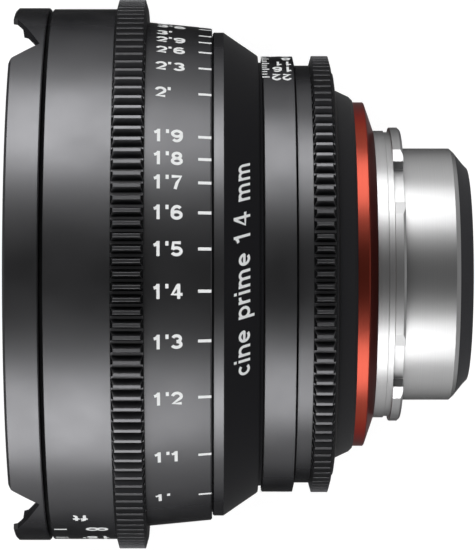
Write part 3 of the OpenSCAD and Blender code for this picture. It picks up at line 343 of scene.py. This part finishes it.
# Engraving letters: the path of the cutter for each sign, one unit tall, and the sign's advance.
cutter = {
    "0": (0.88, [arc(0.4, 0.5, 0.3, 0.4, 0, 360)]),
    "1": (0.8, [[(0.31, 0), (0.31, 1)], [(0.02, 0.72), (0.16, 0.76), (0.26, 0.86)]]),
    "2": (0.88, [np.concatenate([arc(0.4, 0.64, 0.29, 0.26, 170, -30), [(0.14, 0.1), (0.72, 0.1)]])]),
    "3": (0.88, [arc(0.39, 0.7, 0.26, 0.2, 160, -90), arc(0.39, 0.3, 0.3, 0.2, 90, -160)]),
    "4": (0.9, [[(0.54, 0), (0.54, 1)], [(0.5, 0.93), (0.1, 0.3), (0.8, 0.3)]]),
    "5": (0.88, [[(0.68, 0.9), (0.19, 0.9), (0.14, 0.44)], arc(0.39, 0.33, 0.31, 0.23, 145, -155)]),
    "6": (0.88, [arc(0.4, 0.32, 0.3, 0.22, 0, 360), arc(0.42, 0.5, 0.32, 0.4, 45, 210)]),
    "7": (0.86, [[(0.06, 0.9), (0.68, 0.9), (0.42, 0.45), (0.29, 0)]]),
    "8": (0.88, [arc(0.4, 0.7, 0.25, 0.2, 0, 360), arc(0.4, 0.3, 0.3, 0.2, 0, 360)]),
    "9": (0.88, [arc(0.4, 0.68, 0.3, 0.22, 0, 360), arc(0.38, 0.5, 0.32, 0.4, 30, -135)]),
    "'": (0.34, [[(0.1, 1), (0.1, 0.7)]]),
    ".": (0.34, [[(0.1, 0), (0.1, 0.2)]]),
    "∞": (1.7, [arc(0.43, 0.45, 0.33, 0.26, 0, 360), arc(1.1, 0.45, 0.36, 0.28, 0, 360)]),
    "c": (0.76, [arc(0.36, 0.35, 0.26, 0.27, 45, 315)]),
    "e": (0.8, [np.concatenate([[(0.12, 0.36), (0.62, 0.36)], arc(0.36, 0.35, 0.26, 0.27, 0, 310)])]),
    "f": (0.56, [np.concatenate([arc(0.42, 0.74, 0.18, 0.17, 70, 180), [(0.24, 0)]]),
                 [(0.02, 0.62), (0.5, 0.62)]]),
    "i": (0.32, [[(0.1, 0), (0.1, 0.7)], [(0.1, 0.82), (0.1, 0.98)]]),
    "m": (1.16, [[(0.1, 0), (0.1, 0.7)], np.concatenate([arc(0.3, 0.42, 0.2, 0.2, 180, 0), [(0.5, 0)]]),
                 np.concatenate([arc(0.7, 0.42, 0.2, 0.2, 180, 0), [(0.9, 0)]])]),
    "n": (0.78, [[(0.1, 0), (0.1, 0.7)], np.concatenate([arc(0.34, 0.38, 0.24, 0.24, 180, 0), [(0.58, 0)]])]),
    "p": (0.8, [[(0.1, 0.7), (0.1, -0.26)], arc(0.36, 0.35, 0.26, 0.27, 0, 360)]),
    "r": (0.52, [[(0.1, 0), (0.1, 0.7)], arc(0.36, 0.38, 0.26, 0.24, 180, 80)]),
    "t": (0.56, [np.concatenate([[(0.24, 0.92)], arc(0.4, 0.26, 0.16, 0.17, 180, 285)]),
                 [(0.02, 0.62), (0.48, 0.62)]]),
    " ": (0.5, []),
}


def lettering(words, height, weight, width=1):
    """Flat ribbons in mm along the cutter's paths: left end and mid height at 0, 0.
    Each path point p gives p - n w / 2 and p + n w / 2, with n the path's normal there and w the weight.
    `width` stretches the signs along the line."""
    points, faces, left, count = [], [], 0, 0
    for sign in words:
        advance, paths = cutter[sign]
        for path in paths:
            path = np.array(path)
            along = np.gradient(path, axis=0)
            along /= np.linalg.norm(along, axis=1, keepdims=True)
            side = np.stack([-along[:, 1], along[:, 0]], 1) * weight / 2
            points.append(np.stack([path - side, path + side], 1).reshape(-1, 2) + [left, -0.5])
            step = 2 * np.arange(len(path) - 1)[:, None] + count
            faces.append(step + [[0, 2, 3, 1]])
            count += 2 * len(path)
        left += advance
    return np.concatenate(points) * [height * width, height], np.concatenate(faces)


def flat_tick(length, width):
    """A bar as a flat grid in mm, four cells long, middle at 0, 0."""
    u, v = np.meshgrid(np.linspace(-length / 2, length / 2, 5), [-width / 2, width / 2], indexing="ij")
    cell = np.arange(0, 8, 2)[:, None]
    return np.stack([u.ravel(), v.ravel()], 1), (cell + [[0, 2, 3, 1]])


def wrap(flat, x, angle, radius_at, turned=0):
    """Lays flat points on a surface of revolution: u runs along the axis, v round it at v / radius.
    `turned` first turns the points by that many degrees. Radius is `radius_at` plus the paint's rise."""
    points, faces = flat
    t = math.radians(turned)
    along = x + points[:, 0] * math.cos(t) - points[:, 1] * math.sin(t)
    across = points[:, 0] * math.sin(t) + points[:, 1] * math.cos(t)
    radius = radius_at(along) + paint_rise
    turn = math.radians(angle) + across / radius
    return np.stack([along, radius * np.sin(turn), radius * np.cos(turn)], 1), faces


def painted(name, marks, body):
    """One mesh from many wrapped marks, in metres, thickened inwards by the depth of the paint."""
    start = np.cumsum([0] + [len(points) for points, _ in marks])
    faces = [tuple(face) for first, (_, some) in zip(start, marks) for face in (some + first).tolist()]
    paint_mesh = bpy.data.meshes.new(name)
    paint_mesh.from_pydata(np.concatenate([points for points, _ in marks]) / 1000, [], faces)
    paint_mesh.materials.append(white_paint)
    piece = bpy.data.objects.new(name, paint_mesh)
    bpy.context.scene.collection.objects.link(piece)
    fill = piece.modifiers.new("fill", "SOLIDIFY")
    fill.thickness = paint_depth / 1000
    fill.offset = -1
    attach(piece, body)


def scale_radius(x):
    """Cone of the focus scale: radius 54.0 at its front end, 52.7 at its rear end, straight between."""
    return np.interp(x, [-53.6, -40.3], [54.0, 52.7])


# White engraver's paint: a dull enamel that is rubbed into the cut signs and wiped off the metal
# round them, which leaves it slightly uneven.
white_paint = bpy.data.materials.new("white_engraving_enamel")
white_paint.use_nodes = True
tree = white_paint.node_tree
shader = tree.nodes["Principled BSDF"]
shader.inputs["Roughness"].default_value = 0.55
place = add_node(tree, "ShaderNodeTexCoord", {})
wiped_patch = 0.0007
wiped = add_node(tree, "ShaderNodeTexNoise", {"Vector": place.outputs["Object"], "Scale": 1 / wiped_patch,
                                              "Detail": 3.0})
enamel = add_node(tree, "ShaderNodeValToRGB", {"Fac": wiped.outputs["Fac"]})
enamel.color_ramp.elements[0].color = linear("#e6e8e8")
enamel.color_ramp.elements[1].color = linear("#f2f3f3")
tree.links.new(enamel.outputs["Color"], shader.inputs["Base Color"])

marks = []
for words, angle in distances:
    marks.append(wrap(lettering(words, scale_height, scale_weight), scale_left, angle, scale_radius))
    marks.append(wrap(flat_tick(*tick_size), tick_middle, angle, scale_radius))
painted("focus_scale", marks, "focus")

# Second focus scale: the same distances for someone on the other side of the camera, on the plain
# front part of the focus ring. It is upside down from above and starts at its own index.
second_scale_turn = -187
second_right = -61.7
second_ticks = -71.7
feet_right = second_right - 4
feet_angle = far_angle + second_scale_turn + 7


def front_barrel_radius(x):
    """Front part of the focus ring: a cylinder of radius 56.8."""
    return np.full_like(x, 56.8)


marks = []
for words, angle in distances:
    second_angle = angle + second_scale_turn
    letters = lettering(words, scale_height, scale_weight)
    marks.append(wrap(letters, second_right, second_angle, front_barrel_radius, 180))
    marks.append(wrap(flat_tick(*tick_size), second_ticks, second_angle, front_barrel_radius))
letters = lettering("ft", scale_height, scale_weight)
marks.append(wrap(letters, feet_right, feet_angle, front_barrel_radius, 180))
painted("second_focus_scale", marks, "focus")

# Index barrel: the fixed ring between the focus and iris rings, screwed to the main barrel. It is the
# same satin black aluminium, and its long cone carries the marks.
# The cone is drawn dull dark grey and matt: painted shade, for the little light that the tilted cone
# reflects.
satin_with_painted_cone_shade = satin_black.copy()
satin_with_painted_cone_shade.name = "satin_black_with_painted_shade_on_cone"
tree = satin_with_painted_cone_shade.node_tree
shader = tree.nodes["Principled BSDF"]
shader.inputs["Specular IOR Level"].default_value = 0.1
bare_colour = shader.inputs["Base Color"].links[0].from_socket
bare_gloss = shader.inputs["Roughness"].links[0].from_socket
place = add_node(tree, "ShaderNodeTexCoord", {})
axis = add_node(tree, "ShaderNodeSeparateXYZ", {0: place.outputs["Object"]})
# The land in front of the cone is bare metal. Places along the axis are in mm from the mount's seat.
cone_start = -37.6
cone_end = -30.6
bare = add_node(tree, "ShaderNodeMath", {0: axis.outputs["X"], 1: cone_start / 1000}, operation="LESS_THAN")
# Dark grey, matt and not metallic on the cone: the painted shade.
colour = add_node(tree, "ShaderNodeMix", {"Factor": bare.outputs[0], "A": linear("#1e1e20"),
                                          "B": bare_colour}, data_type="RGBA")
gloss = add_node(tree, "ShaderNodeMix", {"Factor": bare.outputs[0], "A": 0.6, "B": bare_gloss})
tree.links.new(bare.outputs[0], shader.inputs["Metallic"])
tree.links.new(colour.outputs["Result"], shader.inputs["Base Color"])
tree.links.new(gloss.outputs["Result"], shader.inputs["Roughness"])
nodes["index_barrel"].data.materials.clear()
nodes["index_barrel"].data.materials.append(satin_with_painted_cone_shade)
index_angle = 90
index_x = -38.7
index_size = (2.0, 0.7)
iris_index_angle = 85.6
iris_index_x = -32.0
iris_index_size = (2.4, 0.7)
second_iris_turn = -190
label_x = -34.0
label_angle = -24.6
label_height = 3.3
label_weight = 0.15
label_width = 1.15


def index_radius(x):
    """Index barrel: a land of radius 51.8, then a cone down to 47.0."""
    return np.interp(x, [cone_start, cone_end], [51.8, 47.0])


label = lettering("cine prime 14 mm", label_height, label_weight, label_width)
marks = [wrap(flat_tick(*index_size), index_x, index_angle, index_radius),
         wrap(flat_tick(*iris_index_size), iris_index_x, iris_index_angle, index_radius),
         wrap(flat_tick(*iris_index_size), iris_index_x, iris_index_angle + second_iris_turn, index_radius),
         wrap(label, label_x, label_angle, index_radius, 90)]
painted("index_lines", marks, "barrel")

# Iris ring and its gear: the same satin black aluminium. The T scale runs round the front band,
# once for each side of the camera.
for name in ("iris_ring", "iris_gear"):
    nodes[name].data.materials.clear()
    nodes[name].data.materials.append(satin_black)
stops = [("22", 61.4), ("16", 66.6), ("11", 71.6), ("8", 77.4), ("5.6", 84.4), ("4", 92.4), ("3.1", 101.4)]
stop_height = 3.1
stop_width = 0.8
stop_weight = 0.2
stop_right = -23.4
stop_ticks = -28.8
stop_tick_size = (1.55, 0.5)
third_ticks = stop_ticks - 0.22
third_tick_size = (1.1, 0.4)


def iris_radius(x):
    """Band of the iris ring: a cylinder of radius 46.7."""
    return np.full_like(x, 46.7)


marks = []
for side in (0, second_iris_turn):
    for words, angle in stops:
        letters = lettering(words, stop_height, stop_weight, stop_width)
        marks.append(wrap(letters, stop_right, angle + side, iris_radius, 180))
        marks.append(wrap(flat_tick(*stop_tick_size), stop_ticks, angle + side, iris_radius))
    for (_, angle), (_, wider) in zip(stops, stops[1:]):
        for third in (1, 2):
            between = angle + (wider - angle) * third / 3 + side
            marks.append(wrap(flat_tick(*third_tick_size), third_ticks, between, iris_radius))
painted("iris_scale", marks, "iris")

# Rear barrel: the fixed ring behind the iris gear that the mount is screwed to. It is turned
# aluminium, anodised the same dull black as the inside.
nodes["rear_barrel"].data.materials.clear()
nodes["rear_barrel"].data.materials.append(matt_black)

# Red ring: an aluminium trim ring between the rear barrel and the mount. It is turned with fine
# lines, anodised, dyed red and pressed on.
red_dyed = bpy.data.materials.new("red_anodised_aluminium")
red_dyed.use_nodes = True
tree = red_dyed.node_tree
shader = tree.nodes["Principled BSDF"]
shader.inputs["Metallic"].default_value = 1.0
# A dark red edge tint paints shade on the limb of the ring, which keeps it dark at a glancing angle.
shader.inputs["Specular Tint"].default_value = linear("#4a0c08")
# The sealed oxide is clear and glossy over the dye, so the bright bands turn pink.
shader.inputs["Coat Weight"].default_value = 0.25
shader.inputs["Coat Roughness"].default_value = 0.3
place = add_node(tree, "ShaderNodeTexCoord", {})
axis = add_node(tree, "ShaderNodeSeparateXYZ", {0: place.outputs["Object"]})
# Turning lines lie 0.08 mm apart. They are drawn 0.2 mm apart so that they show.
red_line_gap = 0.0002
feed = add_node(tree, "ShaderNodeMath", {0: axis.outputs["X"], 1: 1 / red_line_gap}, operation="MULTIPLY")
lines = add_node(tree, "ShaderNodeTexNoise", {"W": feed.outputs[0], "Scale": 1.0, "Detail": 1.0},
                 noise_dimensions="1D")
dye = add_node(tree, "ShaderNodeValToRGB", {"Fac": lines.outputs["Fac"]})
dye.color_ramp.elements[0].color = linear("#a84434")
dye.color_ramp.elements[1].color = linear("#b44c3a")
sheen = add_node(tree, "ShaderNodeMapRange", {"Value": lines.outputs["Fac"], "To Min": 0.28, "To Max": 0.36})
turned = add_node(tree, "ShaderNodeBump", {"Height": lines.outputs["Fac"], "Strength": 0.1,
                                           "Distance": 0.00002})
tree.links.new(dye.outputs["Color"], shader.inputs["Base Color"])
tree.links.new(sheen.outputs["Result"], shader.inputs["Roughness"])
tree.links.new(turned.outputs["Normal"], shader.inputs["Normal"])
nodes["red_ring"].data.materials.clear()
nodes["red_ring"].data.materials.append(red_dyed)

# Mount and its shim: stainless steel, turned all over with a fine feed and left bright. The four
# tabs are milled, and the locating slot is cut into one of them.
stainless = bpy.data.materials.new("turned_stainless_steel")
stainless.use_nodes = True
tree = stainless.node_tree
shader = tree.nodes["Principled BSDF"]
shader.inputs["Metallic"].default_value = 1.0
# A dark edge tint paints shade on the limb of the tube, which keeps it dark at a glancing angle.
shader.inputs["Specular Tint"].default_value = linear("#181818")
place = add_node(tree, "ShaderNodeTexCoord", {})
axis = add_node(tree, "ShaderNodeSeparateXYZ", {0: place.outputs["Object"]})
# The feed is 0.1 mm a turn. It is drawn at 0.25 mm so that it shows.
steel_feed = 0.00025
feed = add_node(tree, "ShaderNodeMath", {0: axis.outputs["X"], 1: 1 / steel_feed}, operation="MULTIPLY")
lines = add_node(tree, "ShaderNodeTexNoise", {"W": feed.outputs[0], "Scale": 1.0, "Detail": 2.0},
                 noise_dimensions="1D")
steel = add_node(tree, "ShaderNodeValToRGB", {"Fac": lines.outputs["Fac"]})
steel.color_ramp.elements[0].color = linear("#d2d2d3")
steel.color_ramp.elements[1].color = linear("#dbdbdb")
bright = add_node(tree, "ShaderNodeMapRange", {"Value": lines.outputs["Fac"], "To Min": 0.32, "To Max": 0.38})
edge = add_node(tree, "ShaderNodeBevel", {"Radius": edge_break}, samples=4)
turned = add_node(tree, "ShaderNodeBump", {"Height": lines.outputs["Fac"], "Strength": 0.12,
                                           "Distance": 0.00002, "Normal": edge.outputs["Normal"]})
tree.links.new(steel.outputs["Color"], shader.inputs["Base Color"])
tree.links.new(bright.outputs["Result"], shader.inputs["Roughness"])
tree.links.new(turned.outputs["Normal"], shader.inputs["Normal"])
for name in ("pl_mount", "mount_shim"):
    nodes[name].data.materials.clear()
    nodes[name].data.materials.append(stainless)

# Rear baffle: the tail behind the mount's tube, which guards the rear glass. It is turned aluminium,
# blasted and anodised dull black, and pressed into the tube.
tail_black = matt_black.copy()
tail_black.name = "blasted_black_tail"
tail_black.node_tree.nodes["Principled BSDF"].inputs["Base Color"].default_value = linear("#353538")
nodes["rear_baffle"].data.materials.clear()
nodes["rear_baffle"].data.materials.append(tail_black)

# Front ring: the fixed petal ring that shades the front glass and carries a clamp-on matte box.
# It is satin black like the barrel, with an index line for the second focus scale.
nodes["front_ring"].data.materials.clear()
nodes["front_ring"].data.materials.append(satin_black)


def front_ring_radius(x):
    """Front ring: a cylinder of radius 57.0."""
    return np.full_like(x, 57.0)


front_index_x = -76.0
front_index_angle = index_angle + second_scale_turn
marks = [wrap(flat_tick(*index_size), front_index_x, front_index_angle, front_ring_radius)]
painted("front_index_line", marks, "barrel")
